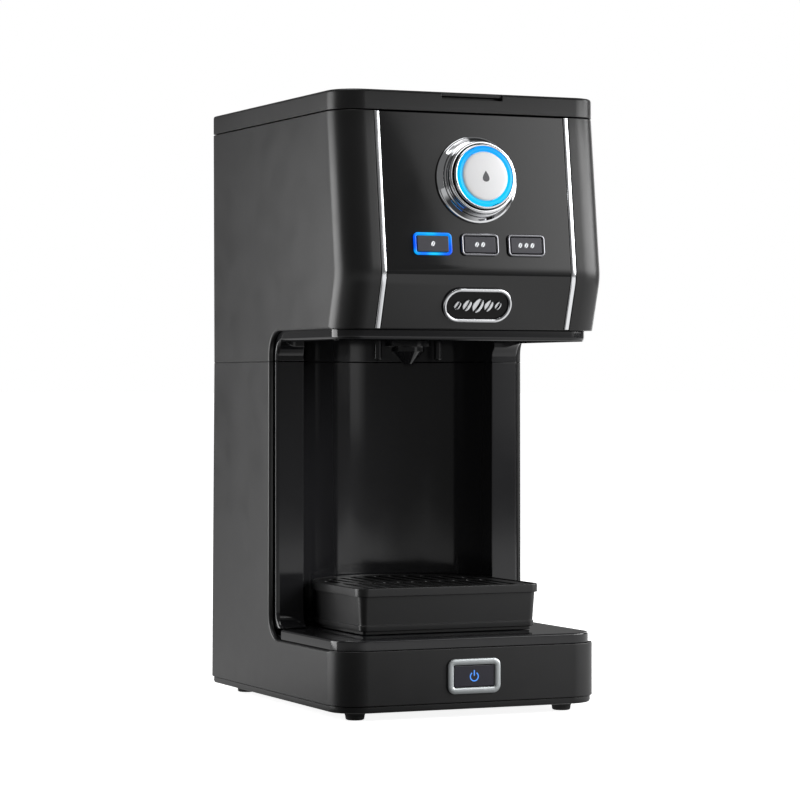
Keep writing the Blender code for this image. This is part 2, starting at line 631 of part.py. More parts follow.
def badge():
    def place(width, height, out):
        return ring_on(on_badge, width, height, height / 2 - 0.05, out, 10)
    w, h = BADGE
    stack("badge_ring", [place(w, h, GAP), place(w, h, 1.2), place(w - 1.6, h - 1.6, 1.9),
                         place(w - 3.8, h - 3.8, 1.5), place(w - 3.8, h - 3.8, GAP)], "chrome",
          ring_shaped=True)
    stack("badge_plate", [place(w - 4.4, h - 4.4, GAP), place(w - 4.4, h - 4.4, 1.0)], "black_satin")


def control_board():
    def plate(name, u0, u1, v0, v1, w0, w1):
        outline = [(u0, v0), (u1, v0), (u1, v1), (u0, v1)]
        return stack(name, [[on_panel(u, v, w) for u, v in outline] for w in (w0, w1)], "board_green")
    body = plate("control_board", -44, 44, 4, 74, -12.0, -10.4)
    fuse(body, plate("add", -5, 5, KNOB_V - 5, KNOB_V + 5, -11, -8.5))
    for i in (-1, 0, 1):
        fuse(body, plate("add", i * MODE_PITCH - 3, i * MODE_PITCH + 3, MODE_V - 3, MODE_V + 3, -11, -7.9))
    return body


def power_board():
    body = box("power_board", -52, 8, -62, 24, 12.2, 13.8, "board_green")
    return fuse(body, box("add", -6, 6, -74.8, -61, 12.6, 25, "board_green"),
                box("add", -46, -20, -30, 0, 13, 30, "board_green"),
                box("add", -12, 2, -10, 12, 13, 26, "board_green"))


# ---------------------------------------------------------------- water and heat
def heater():
    body = box("heater", -24, 24, 64, 84, 92, 150, "aluminium")
    for x in (-16, 16):
        fuse(body, turned("add", [(0, 84), (4.2, 84), (4.2, 93), (0, 93)], "aluminium",
                          lambda u, v, w: (x + u, 74 + v, w), steps=20))
    fuse(body, turned("add", [(0, 149), (4.2, 149), (4.2, 158), (0, 158)], "aluminium",
                      lambda u, v, w: (20 + u, 74 + v, w), steps=20))
    return body


def thermostat():
    turned("thermostat", [(0, 0), (7.5, 0), (7.5, 4), (3, 4), (3, 6), (0, 6)], "steel",
           lambda u, v, w: (u - 8, 84.3 + w, 130 + v), steps=24)


def thermal_fuse():
    box("thermal_fuse", 6, 18, 84.3, 88, 104, 110, "steel")


def cold_hose():
    path = [(-36, 74, 198.6), (-36, 74, 188), (-36, 74, 172.4)]
    tube("cold_hose_upper", path, 4.4, "hose_silicone", inner=2.4)
    turned("check_valve", [(0, 150), (4.6, 150), (4.6, 154), (7, 156), (7, 167), (4.6, 169), (4.6, 172),
                           (0, 172)], "cap_white", lambda u, v, w: (-36 + u, 74 + v, w), steps=20)
    path = [(-36, 74, 149.6), (-36, 74, 88)]
    path += [(-36 + 10 * (1 - math.cos(a)), 74, 84 - 10 * math.sin(a))
             for a in (math.radians(d) for d in (0, 20, 40, 60, 80, 90, 100, 120, 140, 160))]
    path += [(-16, 74, 82), (-16, 74, 83.6)]
    tube("cold_hose_lower", path, 4.0, "hose_silicone", inner=2.4)


def hot_tube():
    path = [(20, 74, 158.4), (20, 74, 190)]
    path += [(20, 74 - 11 * (1 - math.cos(a)), 190 + 11 * math.sin(a))
             for a in (math.radians(d) for d in (20, 40, 60, 80))]
    path += [(20, 63 - 11 * math.sin(a), 212 - 11 * math.cos(a))
             for a in (math.radians(d) for d in (0, 20, 40, 60, 80, 90))]
    path += [(20, 52, 296)]
    tube("hot_tube", path, 3.8, "hose_silicone", inner=2.2)


def hot_outlet():
    turned("hot_outlet", [(1.8, 296.4), (3.6, 296.4), (3.6, 299.9), (6, 299.9), (6, 301), (3.6, 301.4),
                          (3.2, 304.6), (1.8, 304.6)], "black_satin",
           lambda u, v, w: (20 + u, 52 + v, w), steps=24, hollow=True)


def cord_gland():
    turned("cord_gland", [(2.6, 92), (5.0, 92), (5.0, 99.1), (7.2, 99.1), (7.2, 99.6), (6.6, 100),
                          (2.6, 100)], "black_rubber", lambda u, v, w: (-45 + u, w, 20 + v), steps=24,
           hollow=True)


# ---------------------------------------------------------------- tray
def tray_outline(inset, corner=5.5):
    half, front, radius = TRAY_HALF - inset, TRAY_FRONT + inset, max(corner - inset, 1.5)
    outline = []
    for side in (1, -1):
        corner_points = [(half - radius + radius * math.sin(a), front + radius - radius * math.cos(a))
                         for a in (math.radians(d) for d in (0, 22.5, 45, 67.5, 90))]
        arc = [(half * math.cos(a), AXIS_Y + half * math.sin(a))
               for a in (math.radians(d) for d in range(0, 90, 6))]
        part = corner_points + arc
        outline += part if side == 1 else [(-x, y) for x, y in part[::-1]]
    apex = len(outline) // 2
    return outline[:apex] + [(0, AXIS_Y + half)] + outline[apex:]


def drip_tray():
    steps = ((3.8, Z_DECK + GAP), (3.8, Z_TRAY_BOTTOM), (2.2, Z_TRAY_BOTTOM + 0.2), (1.4, Z_RIM_LOW),
             (0, Z_RIM_LOW + 0.1), (0, Z_RIM - 0.5), (0.5, Z_RIM), (1.7, Z_RIM), (1.7, 60.3), (3.6, 60.2),
             (4.4, 42.4))
    stack("drip_tray", [level(tray_outline(i), z) for i, z in steps], "black_satin")


def drip_grille():
    body = slab("drip_grille", tray_outline(2.1), 60.6, 62.3, "black_satin")
    for i in range(-5, 6):
        x = i * 8.0
        reach = math.sqrt(43.0 ** 2 - x * x)
        for y0, y1 in ((-50, -9), (-4, AXIS_Y + reach)):
            cut(body, box("cut", x - 2, x + 2, y0, y1, 55, 70))
    return body


def build():
    for obj in list(bpy.data.objects):
        bpy.data.objects.remove(obj)
    for piece in (upper_housing, front_panel, trim_strips, upper_liner, lower_housing, lower_liner,
                  deck_plate, base_cover, feet, cover_screws, inner_deck, water_tank, tank_strainer,
                  brew_basket, drip_valve, mesh_filter, lid, lid_inner, shower_plate, hinge_pins,
                  knob_bezel, start_button, mode_buttons, power_button, badge, control_board,
                  power_board, heater, thermostat, thermal_fuse, cold_hose, hot_tube, hot_outlet,
                  cord_gland, drip_tray, drip_grille):
        piece()


build()
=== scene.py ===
"""Single-cup drip coffee maker: finished pieces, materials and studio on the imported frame.

Sizes are in millimetres in the frame's own axes, and scaled to metres where meshes are made.
"""
import json
import math

import bmesh
import bpy
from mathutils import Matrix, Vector

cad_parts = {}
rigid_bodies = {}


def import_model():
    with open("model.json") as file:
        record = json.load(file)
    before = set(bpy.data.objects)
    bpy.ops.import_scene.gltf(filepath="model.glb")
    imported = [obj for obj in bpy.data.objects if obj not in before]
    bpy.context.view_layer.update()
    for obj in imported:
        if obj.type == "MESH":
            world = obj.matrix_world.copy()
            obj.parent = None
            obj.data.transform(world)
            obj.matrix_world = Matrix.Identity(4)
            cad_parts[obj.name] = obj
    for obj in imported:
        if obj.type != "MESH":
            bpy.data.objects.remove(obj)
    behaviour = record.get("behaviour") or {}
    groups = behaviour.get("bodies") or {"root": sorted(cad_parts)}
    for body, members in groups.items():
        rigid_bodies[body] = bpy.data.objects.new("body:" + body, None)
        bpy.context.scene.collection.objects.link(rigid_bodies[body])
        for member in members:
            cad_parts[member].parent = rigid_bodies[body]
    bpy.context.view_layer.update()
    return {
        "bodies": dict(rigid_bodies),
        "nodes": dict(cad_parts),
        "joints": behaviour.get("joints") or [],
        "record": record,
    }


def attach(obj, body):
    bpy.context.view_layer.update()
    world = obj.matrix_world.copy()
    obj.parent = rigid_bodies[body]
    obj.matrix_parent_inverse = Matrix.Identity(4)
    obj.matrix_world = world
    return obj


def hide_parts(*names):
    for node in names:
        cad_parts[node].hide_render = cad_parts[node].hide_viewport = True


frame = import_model()
NODES = frame["nodes"]

MM = 0.001
SHIFT_Y, SHIFT_Z = -0.46, 2.02      # from the drawing's axes to the frame's
AXIS_Y = -2.6                       # axis of the outlet, the recess and the tray
HALF_W, BASE_HALF_W, WALL = 73.4, 73.7, 2.5
FRONT_RADIUS, BACK_RADIUS = 15.0, 4.0
Z_COVER, Z_BASE, Z_BASE_TOP, Z_DECK = 2.4, 6.0, 33.3, 38.6
Z_SEAM, Z_LIP, Z_HEAD, Z_RIDGE, Z_LID, Z_TOP = 178.0, 188.2, 193.7, 220.6, 302.5, 313.0
Y_BASE_FRONT, Y_HEAD_LOW, Y_RIDGE, Y_TOP_FRONT = -83.5, -83.1, -91.9, -81.8
Y_BACK_TOP, Y_BACK_SEAM, Y_BACK_BASE = 97.2, 96.2, 99.0
Y_COLUMN, Y_PILLAR = 11.1, 8.8
CORNER, LINER_CORNER = 12.0, 7.5
RECESS_R = 56.0
PANEL_HALF, STRIP_IN, STRIP_OUT, WINDOW_HALF, PANEL_T = 51.0, 51.3, 53.9, 54.2, 2.5
KNOB_V, MODE_V, MODE_PITCH = 48.57, 15.6, 25.9
MODE_FRAME, MODE_CAP = (20.8, 11.3), (17.3, 8.2)
POWER_FRAME, POWER_CAP, POWER_Z = (29.3, 17.7), (22.1, 10.7), 19.2
BADGE, BADGE_Z = (38.1, 17.7), 206.1
TRAY_HALF, TRAY_FRONT = 51.3, -56.9
HINGE_Y, HINGE_Z, HINGE_X, KNUCKLE_R, PIN_R = 97.2, 302.5, 40.0, 2.8, 1.0
SLOT_HALF = 16.9                    # finger slot in the lid's front edge
RIDGE_ROUND = 4.6                   # half height of the rounded zone at the ridge
GAP = 0.3
SCREWS = [(x, y) for x in (-64.5, 64.5) for y in (-52, 64)]
FEET = {"foot_front_left": (-58, -67), "foot_front_right": (58, -67),
        "foot_back_left": (-58, 84), "foot_back_right": (58, 84)}
PIN_X = 17.3                        # pins beside the outlet
CORD_X, CORD_Z, CORD_HOLE_R = -45, 20, 5.3
GRILLE_PITCH, GRILLE_REACH = 8.0, 43.0
FAR_FRONT = -160                    # cutters reach past the front of the machine
CREASE = math.radians(32)           # edges sharper than this are rounded or kept sharp
ROUND_CREASE = math.radians(50)     # the same, on pieces whose rounds are built in rings
WIDE_CREASE = math.radians(40)      # the same, on the panel and on the faceted CAD nodes
SOFT_FROM = 0.7                     # radians; the big rounds take only edges sharper than this
WHITE = (1, 1, 1, 1)


# ---------------------------------------------------------------- materials
class Shader:
    """A procedural material on one Principled shader."""

    def __init__(self, name, color, rough, metal=0.0, **extra):
        self.mat = bpy.data.materials.new(name)
        self.mat.use_nodes = True
        self.tree = self.mat.node_tree
        self.bsdf = self.tree.nodes["Principled BSDF"]
        self.bsdf.inputs["Base Color"].default_value = (*color, 1)
        self.bsdf.inputs["Roughness"].default_value = rough
        self.bsdf.inputs["Metallic"].default_value = metal
        for key, value in extra.items():
            self.bsdf.inputs[key.replace("_", " ")].default_value = value
        self.coords = self.tree.nodes.new("ShaderNodeTexCoord").outputs["Object"]

    def node(self, kind, **settings):
        node = self.tree.nodes.new(kind)
        for key, value in settings.items():
            setattr(node, key, value)
        return node

    def link(self, a, b):
        self.tree.links.new(a, b)

    def math(self, operation, a, b):
        node = self.node("ShaderNodeMath", operation=operation)
        for socket, value in zip(node.inputs, (a, b)):
            if isinstance(value, (int, float)):
                socket.default_value = value
            else:
                self.link(value, socket)
        return node.outputs[0]

    def noise(self, scale, detail=3.0, rough=0.55, stretch=None):
        node = self.node("ShaderNodeTexNoise")
        node.inputs["Scale"].default_value = scale
        node.inputs["Detail"].default_value = detail
        node.inputs["Roughness"].default_value = rough
        source = self.coords
        if stretch:
            mapping = self.node("ShaderNodeMapping")
            mapping.inputs["Scale"].default_value = stretch
            self.link(source, mapping.inputs["Vector"])
            source = mapping.outputs["Vector"]
        self.link(source, node.inputs["Vector"])
        return node.outputs["Fac"]

    def remap(self, value, source, target=(0.0, 1.0), smooth=False):
        """Bring a value from one range to another, held at its ends."""
        node = self.node("ShaderNodeMapRange", interpolation_type="SMOOTHSTEP" if smooth else "LINEAR")
        node.inputs["From Min"].default_value, node.inputs["From Max"].default_value = source
        node.inputs["To Min"].default_value, node.inputs["To Max"].default_value = target
        self.link(value, node.inputs["Value"])
        return node.outputs["Result"]

    def axis(self, letter):
        node = self.node("ShaderNodeSeparateXYZ")
        self.link(self.coords, node.inputs[0])
        return node.outputs[letter]

    def distance(self, centre):
        node = self.node("ShaderNodeVectorMath", operation="DISTANCE")
        node.inputs[1].default_value = centre
        self.link(self.coords, node.inputs[0])
        return node.outputs["Value"]

    def emit(self, value):
        self.link(value, self.bsdf.inputs["Emission Strength"])

    def vary(self, factor, low, high):
        """Roughness that wanders between two values."""
        self.link(self.remap(factor, (0.25, 0.75), (low, high)), self.bsdf.inputs["Roughness"])

    def tint(self, factor, dark, light, socket="Base Color"):
        """Colour that wanders between two tones."""
        mix = self.node("ShaderNodeMix", data_type="RGBA")
        mix.inputs["A"].default_value, mix.inputs["B"].default_value = (*dark, 1), (*light, 1)
        self.link(factor, mix.inputs["Factor"])
        self.link(mix.outputs["Result"], self.bsdf.inputs[socket])

    def bump(self, height, distance, strength):
        node = self.node("ShaderNodeBump")
        node.inputs["Distance"].default_value = distance
        node.inputs["Strength"].default_value = strength
        self.link(height, node.inputs["Height"])
        self.link(node.outputs["Normal"], self.bsdf.inputs["Normal"])


def satin_plastic(name, tone, rough, grain=2600.0, depth=0.00001, metal=0.0, specular=0.5):
    """Moulded plastic with a fine spark-eroded grain and faint cloudiness."""
    s = Shader(name, tone, rough, metal, Specular_IOR_Level=specular)
    s.tint(s.noise(22, 2), tuple(c * 0.88 for c in tone), tuple(c * 1.12 for c in tone))
    s.vary(s.noise(60, 4), rough - 0.035, rough + 0.035)
    s.bump(s.noise(grain, 2, 0.6), depth, 0.35)
    return s.mat


def gloss_plastic(name, tone, rough):
    """Polished plastic: faint orange peel and a trace of handling haze."""
    s = Shader(name, tone, rough, Specular_IOR_Level=0.5)
    s.tint(s.noise(15, 2), tuple(c * 0.9 for c in tone), tuple(c * 1.1 for c in tone))
    s.vary(s.noise(40, 5, 0.65), rough * 0.75, rough * 1.3)
    s.bump(s.noise(55, 2, 0.4), 0.00003, 0.10)
    return s.mat


def plated(name, tone, rough, brushed=None):
    """Plated or brushed metal."""
    s = Shader(name, tone, rough, 1.0)
    if brushed:
        grain = s.noise(900, 3, 0.6, brushed)
        s.vary(grain, rough - 0.06, rough + 0.10)
        s.bump(grain, 0.00001, 0.25)
    else:
        s.vary(s.noise(70, 4), rough * 0.7, rough * 1.4)
    return s.mat


def glowing(name, tone, strength, base=(0.0, 0.04, 0.16), scale=75, rise=None):
    """Lit translucent plastic; the lamps behind it make it brighter in patches, or from top to bottom."""
    s = Shader(name, base, 0.35, Specular_IOR_Level=0.3, Emission_Strength=strength)
    value = s.noise(scale, 1, 0.3)
    if rise:
        value = s.math("ADD", s.axis("Z"), s.math("MULTIPLY", value, 0.004))
    s.tint(s.remap(value, rise or (0.35, 0.65), smooth=True), *tone, "Emission Color")
    return s.mat


def woven_mesh(name, tone):
    """Fine etched filter mesh: round holes in rows, shown as small pits and as dark dots of painted shade.
    """
    s = Shader(name, tone, 0.32, 1.0)
    cells = s.node("ShaderNodeTexVoronoi", feature="F1")
    cells.inputs["Scale"].default_value = 820
    cells.inputs["Randomness"].default_value = 0.12
    s.link(s.coords, cells.inputs["Vector"])
    metal = s.remap(cells.outputs["Distance"], (0.20, 0.34), smooth=True)
    # painted shade: the holes are painted near black, as if dark behind them, instead of being cut through
    s.tint(metal, (0.02, 0.02, 0.02), tone)
    s.bump(metal, 0.0001, 0.8)
    return s.mat


MAT = {
    "mesh": woven_mesh("filter_mesh", (0.62, 0.61, 0.58)),
    "tank": gloss_plastic("tank_smoke", (0.14, 0.15, 0.17), 0.22),
    "board": satin_plastic("board_green", (0.02, 0.14, 0.06), 0.45, 700, 0.00004),
    "silicone": satin_plastic("silicone_white", (0.62, 0.62, 0.60), 0.55, 900, 0.00002),
    "cast": satin_plastic("cast_aluminium", (0.60, 0.61, 0.62), 0.42, 1200, 0.00005, 1.0),
    "satin": satin_plastic("satin_black", (0.012, 0.012, 0.0123), 0.34),
    "base": satin_plastic("satin_black_base", (0.010, 0.010, 0.0105), 0.34),
    "gloss": gloss_plastic("gloss_black", (0.017, 0.017, 0.0185), 0.09),
    "panel": gloss_plastic("panel_black", (0.013, 0.013, 0.0133), 0.055),
    "inner": satin_plastic("inner_black", (0.018, 0.018, 0.019), 0.50),
    "rubber": satin_plastic("rubber_black", (0.012, 0.012, 0.012), 0.75, 1500, 0.00003),
    "chrome": plated("chrome_plate", (0.86, 0.87, 0.89), 0.06),
    "trim": plated("trim_chrome", (0.92, 0.93, 0.95), 0.15),
    "emblem": plated("emblem_chrome", (0.80, 0.81, 0.83), 0.12),
    "frame_dark": plated("frame_dark_chrome", (0.22, 0.22, 0.235), 0.20),
    "silver": plated("satin_silver", (0.53, 0.56, 0.57), 0.36, (1, 8, 1)),
    "steel": plated("brushed_steel", (0.58, 0.57, 0.55), 0.28, (8, 1, 1)),
    "cap": satin_plastic("cap_silver_white", (0.88, 0.88, 0.89), 0.46, 1800, 0.00001, 0.15),
    "button": satin_plastic("button_violet_grey", (0.026, 0.025, 0.037), 0.34),
    "print": glowing("lit_print_white", ((0.75, 0.78, 0.84), (0.85, 0.87, 0.92)), 0.62,
                     (0.5, 0.5, 0.5)),
    "field": satin_plastic("badge_field_black", (0.007, 0.007, 0.007), 0.30, specular=0.2),
    "engraved": satin_plastic("engraved_grey", (0.10, 0.10, 0.11), 0.45),
    "glow_ring": glowing("ring_blue", ((0.0, 0.58, 1.0), (0.0, 0.27, 0.98)), 1.0,
                         rise=(0.266, 0.300)),
    "glow_frame": glowing("frame_blue", ((0.0, 0.09, 0.95), (0.0, 0.60, 1.0)), 1.0, scale=95),
    "glow_mark": glowing("mark_blue", ((0.06, 0.24, 1.0), (0.10, 0.34, 1.0)), 1.0),
}


# ---------------------------------------------------------------- mesh tools
def make(name, points, faces):
    """Mesh object from points in millimetres, with its faces turned outwards."""
    mesh = bpy.data.meshes.new(name)
    mesh.from_pydata([(x * MM, (y + SHIFT_Y) * MM, (z + SHIFT_Z) * MM) for x, y, z in points], [], faces)
    mesh.validate()
    total = 0.0
    for face in mesh.polygons:
        corners = [mesh.vertices[i].co for i in face.vertices]
        total += sum(corners[0].dot(a.cross(b)) for a, b in zip(corners[1:], corners[2:]))
    if total < 0:
        mesh.flip_normals()
    obj = bpy.data.objects.new(name, mesh)
    bpy.context.scene.collection.objects.link(obj)
    return obj


def stack(name, rings, hollow=False):
    """Solid through equal rings, capped at its ends, or closed on itself when hollow."""
    count = len(rings[0])
    points = [p for ring in rings for p in ring]
    faces = []
    for i in range(len(rings) if hollow else len(rings) - 1):
        low, high = i * count, (i + 1) % len(rings) * count
        faces += [(low + j, low + (j + 1) % count, high + (j + 1) % count, high + j) for j in range(count)]
    if not hollow:
        last = (len(rings) - 1) * count
        faces += [tuple(range(count))[::-1], tuple(last + j for j in range(count))]
    return make(name, points, faces)


def rounded(x0, x1, y0, y1, radius, steps=16, back=None, back_steps=8):
    """Rectangle with rounded corners, which may have another radius at the back."""
    back = radius if back is None else back
    outline = []
    for cx, cy, r, start, n in ((x1 - radius, y0 + radius, radius, -90, steps),
                                (x1 - back, y1 - back, back, 0, back_steps),
                                (x0 + back, y1 - back, back, 90, back_steps),
                                (x0 + radius, y0 + radius, radius, 180, steps)):
        for i in range(n + 1):
            a = math.radians(start + 90 * i / n)
            outline.append((cx + r * math.cos(a), cy + r * math.sin(a)))
    return outline


def level(outline, z):
    return [(x, y, z) for x, y in outline]


def slab(name, outline, z0, z1):
    return stack(name, [level(outline, z0), level(outline, z1)])


def block(name, x0, x1, y0, y1, z0, z1):
    return slab(name, [(x0, y0), (x1, y0), (x1, y1), (x0, y1)], z0, z1)


def across(name, profile, x0, x1):
    """Profile of (y, z) points drawn along X."""
    return stack(name, [[(x, y, z) for y, z in profile] for x in (x0, x1)])


def at_axis(u, v, w):
    return (u, v + AXIS_Y, w)


def about(x, y):
    """Place for an upright turned solid."""
    return lambda u, v, w: (x + u, y + v, w)


def turned(name, profile, place=at_axis, steps=96, hollow=False):
    """Profile of (radius, height) points turned about its axis."""
    points, faces, rows = [], [], []
    angles = [2 * math.pi * i / steps for i in range(steps)]
    for r, h in profile:
        if r == 0:
            rows.append([len(points)] * steps)
            points.append(place(0, 0, h))
            continue
        rows.append([len(points) + i for i in range(steps)])
        points += [place(r * math.cos(a), r * math.sin(a), h) for a in angles]
    for low, high in list(zip(rows, rows[1:])) + ([(rows[-1], rows[0])] if hollow else []):
        for i in range(steps):
            j = (i + 1) % steps
            face = tuple(dict.fromkeys((low[i], low[j], high[j], high[i])))
            if len(face) > 2:
                faces.append(face)
    return make(name, points, faces)


def rod(radius, z0, z1, place=at_axis, steps=96):
    """Plain turned solid for joining or cutting."""
    return turned("c", [(0, z0), (radius, z0), (radius, z1), (0, z1)], place, steps)


def combine(target, operation, *others):
    for other in others:
        modifier = target.modifiers.new(operation.lower(), "BOOLEAN")
        modifier.object, modifier.operation, modifier.solver = other, operation, "EXACT"
        bpy.context.view_layer.update()
        joined = target.evaluated_get(bpy.context.evaluated_depsgraph_get())
        mesh = bpy.data.meshes.new_from_object(joined)
        target.modifiers.clear()
        target.data = mesh
        bpy.data.objects.remove(other)
    return target


def cut(target, *others):
    return combine(target, "DIFFERENCE", *others)


def fuse(target, *others):
    return combine(target, "UNION", *others)


def dress(obj, material, bevel=0.0, segments=3, crease=CREASE):
    """Material, rounded edges and smooth shading."""
    obj.data.materials.clear()
    obj.data.materials.append(MAT[material])
    for face in obj.data.polygons:
        face.material_index = 0
        face.use_smooth = True
    if bevel:
        edge = obj.modifiers.new("edge", "BEVEL")
        edge.width, edge.segments = bevel * MM, segments
        edge.limit_method, edge.angle_limit = "ANGLE", crease
        edge.use_clamp_overlap = False
        edge.miter_outer = "MITER_ARC"
    else:
        obj.data.set_sharp_from_angle(angle=crease)
    shade = obj.modifiers.new("shade", "WEIGHTED_NORMAL")
    shade.keep_sharp = not bevel
    shade.weight = 60


def soften(obj, chosen, width):
    """Round the sharp edges whose two ends pass a test on their place in millimetres."""
    mesh = bmesh.new()
    mesh.from_mesh(obj.data)
    weight = mesh.edges.layers.float.new("bevel_weight_edge")
    for edge in mesh.edges:
        if len(edge.link_faces) == 2 and edge.calc_face_angle() > SOFT_FROM and all(
                chosen(v.co.x / MM, v.co.y / MM - SHIFT_Y, v.co.z / MM - SHIFT_Z) for v in edge.verts):
            edge[weight] = 1
    mesh.to_mesh(obj.data)
    mesh.free()
    soft = obj.modifiers.new("soft", "BEVEL")
    soft.width, soft.segments, soft.limit_method = width * MM, 5, "WEIGHT"
    soft.use_clamp_overlap = False


def piece(obj, body, node=None, slot=None, **finish):
    """Dress a new piece, hang it on its body and hide the CAD node it stands for; slot is not used."""
    dress(obj, **finish)
    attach(obj, body)
    if node:
        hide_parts(node)


# ---------------------------------------------------------------- the sloped front
def sloped_y(z):
    """Front of the head as two flat slopes that meet at the ridge."""
    if z >= Z_RIDGE:
        return Y_RIDGE + (z - Z_RIDGE) * (Y_TOP_FRONT - Y_RIDGE) / (Z_LID - Z_RIDGE)
    return Y_RIDGE + (Z_RIDGE - z) * (Y_HEAD_LOW - Y_RIDGE) / (Z_RIDGE - Z_HEAD)


def front_y(z):
    """Front of the head with its ridge rounded off."""
    t = (z - Z_RIDGE) / RIDGE_ROUND
    if abs(t) >= 1:
        return sloped_y(z)
    low, high = sloped_y(Z_RIDGE - RIDGE_ROUND), sloped_y(Z_RIDGE + RIDGE_ROUND)
    a, b = (1 - t) / 2, (1 + t) / 2
    return low * a * a + 2 * Y_RIDGE * a * b + high * b * b


def skin(z, out):
    """Point (y, z) of the surface lying out in front of the face."""
    slope = (front_y(z + 0.05) - front_y(z - 0.05)) / 0.1
    size = math.hypot(1, slope)
    source = z - slope / size * out
    return (front_y(source) - out / size, z)


def front_heights(z0, z1):
    """Heights for rings up the front, close together at the ridge."""
    middle = [Z_RIDGE + RIDGE_ROUND * 1.4 * t / 6 for t in range(-6, 7)]
    return [z0, (z0 + middle[0]) / 2] + middle + [(middle[-1] + z1) / 2, z1]


def back_y(z):
    if z >= Z_SEAM:
        return Y_BACK_SEAM + (z - Z_SEAM) * (Y_BACK_TOP - Y_BACK_SEAM) / (Z_LID - Z_SEAM)
    return Y_BACK_SEAM + (Z_SEAM - z) * (Y_BACK_BASE - Y_BACK_SEAM) / (Z_SEAM - Z_BASE)


UP_RUN = Vector((0, Y_TOP_FRONT - Y_RIDGE, Z_LID - Z_RIDGE)).normalized()
UP_OUT = Vector((0, -UP_RUN.z, UP_RUN.y))
LOW_RUN = Vector((0, Y_RIDGE - Y_HEAD_LOW, Z_RIDGE - Z_HEAD)).normalized()
LOW_OUT = Vector((0, -LOW_RUN.z, LOW_RUN.y))


def on_panel(u, v, w):
    """Point u across and v up the upper slope from the ridge, and w out of it."""
    return tuple(Vector((u, Y_RIDGE, Z_RIDGE)) + UP_RUN * v + UP_OUT * w)


def on_knob(u, v, w):
    return on_panel(u, KNOB_V + v, w)


def mode_place(i):
    """Place on the panel of strength button -1, 0 or 1."""
    return lambda u, v, w: on_panel(i * MODE_PITCH + u, MODE_V + v, w)


def on_badge(u, v, w):
    v += (BADGE_Z - Z_RIDGE) / LOW_RUN.z
    return tuple(Vector((u, Y_RIDGE, Z_RIDGE)) + LOW_RUN * v + LOW_OUT * w)


def on_base(u, v, w):
    return (u, Y_BASE_FRONT - w, POWER_Z + v)


def bay(y_back, z_low, z_high, radius):
    """Side view of the cup bay, open to the front and rounded at the back."""
    turns = [math.radians(90 * i / 16) for i in range(17)]
    y, low, high = y_back - radius, z_low + radius, z_high - radius
    return ([(FAR_FRONT, z_low)]
            + [(y + radius * math.sin(a), low - radius * math.cos(a)) for a in turns]
            + [(y + radius * math.cos(a), high + radius * math.sin(a)) for a in turns]
            + [(FAR_FRONT, z_high)])


def ring_on(place, width, height, radius, out, steps=8):
    """Rounded rectangle on one of the tilted or upright faces."""
    return [place(x, y, out) for x, y in
            rounded(-width / 2, width / 2, -height / 2, height / 2, radius, steps, back_steps=steps)]


def barrel(name, x0, x1, radius):
    """Round bar on the lid's hinge axis."""
    angles = [2 * math.pi * i / 32 for i in range(32)]
    return across(name, [(HINGE_Y + radius * math.cos(a), HINGE_Z + radius * math.sin(a)) for a in angles],
                  x0, x1)


# ---------------------------------------------------------------- housings
def upper_housing():
    def ring(z, inset, front_inset, radius, back):
        return level(rounded(-HALF_W + inset, HALF_W - inset, front_y(z) + front_inset, back_y(z) - inset,
                             radius, back=back), z)
    heights = [Z_SEAM] + front_heights(Z_HEAD, Z_LID)
    body = stack("head_shell", [ring(z, 0, 0, FRONT_RADIUS, BACK_RADIUS) for z in heights]
                 + [ring(z, WALL, 5.3, 12.0, 1.6) for z in heights[::-1]], hollow=True)
    line = [skin(z, -PANEL_T - GAP) for z in front_heights(Z_HEAD - 6, Z_LID + 6)]
    # the bay, the shelf that the panel lies in, and the window behind it
    cut(body, across("c", bay(Y_COLUMN, Z_SEAM - 60, Z_HEAD, CORNER), -90, 90),
        across("c", [(-130, line[0][1])] + line + [(-130, line[-1][1])], -WINDOW_HALF, WINDOW_HALF),
        block("c", -46, 46, -130, -60, Z_HEAD + 6, Z_LID - 6))
    for side in (-1, 1):
        for x in (-10.3, 10.3):
            fuse(body, barrel("a", side * HINGE_X + x - 4, side * HINGE_X + x + 4, KNUCKLE_R))
        cut(body, barrel("c", side * HINGE_X - 6.3, side * HINGE_X + 6.3, KNUCKLE_R + GAP),
            barrel("c", side * HINGE_X - 20, side * HINGE_X + 20, PIN_R + GAP))
    soften(body, lambda x, y, z: abs(x) > HALF_W - 0.4 and y < Y_COLUMN + 0.3 and z < Z_HEAD + 0.3, 1.2)
    piece(body, "body", "upper_housing", "black_satin", material="satin", bevel=0.35)


def front_panel():
    heights = front_heights(Z_HEAD + GAP, Z_LID - GAP)
    rings = [[(-PANEL_HALF, *skin(z, 0)), (PANEL_HALF, *skin(z, 0)), (PANEL_HALF, *skin(z, -PANEL_T)),
              (-PANEL_HALF, *skin(z, -PANEL_T))] for z in heights]
    panel = stack("control_panel", rings)
    cut(panel, rod(19.0, -8, 8, on_knob))
    for i in (-1, 0, 1):
        cut(panel, stack("c", [ring_on(mode_place(i), 19.8, 10.3, 1.6, w) for w in (-8, 8)]))
    piece(panel, "body", "front_panel", "black_gloss", material="panel", bevel=0.3, crease=WIDE_CREASE)


def trim_strips():
    section = [(STRIP_IN, -PANEL_T), (STRIP_IN, 0.0), (STRIP_IN + 0.25, 0.27), (STRIP_IN + 0.7, 0.38),
               (STRIP_OUT - 0.7, 0.38), (STRIP_OUT - 0.25, 0.27), (STRIP_OUT, 0.0), (STRIP_OUT, -PANEL_T)]
    for name, side in (("trim_strip_left", -1), ("trim_strip_right", 1)):
        rings = [[(side * x, *skin(z, out)) for x, out in section]
                 for z in front_heights(Z_HEAD + GAP, Z_LID - GAP)]
        piece(stack(name + "_bright", rings), "body", name, "chrome", material="trim", bevel=0.12,
              segments=2)


def recess(radius, z0, z1, steps=160):
    return rod(radius, z0, z1, steps=steps)


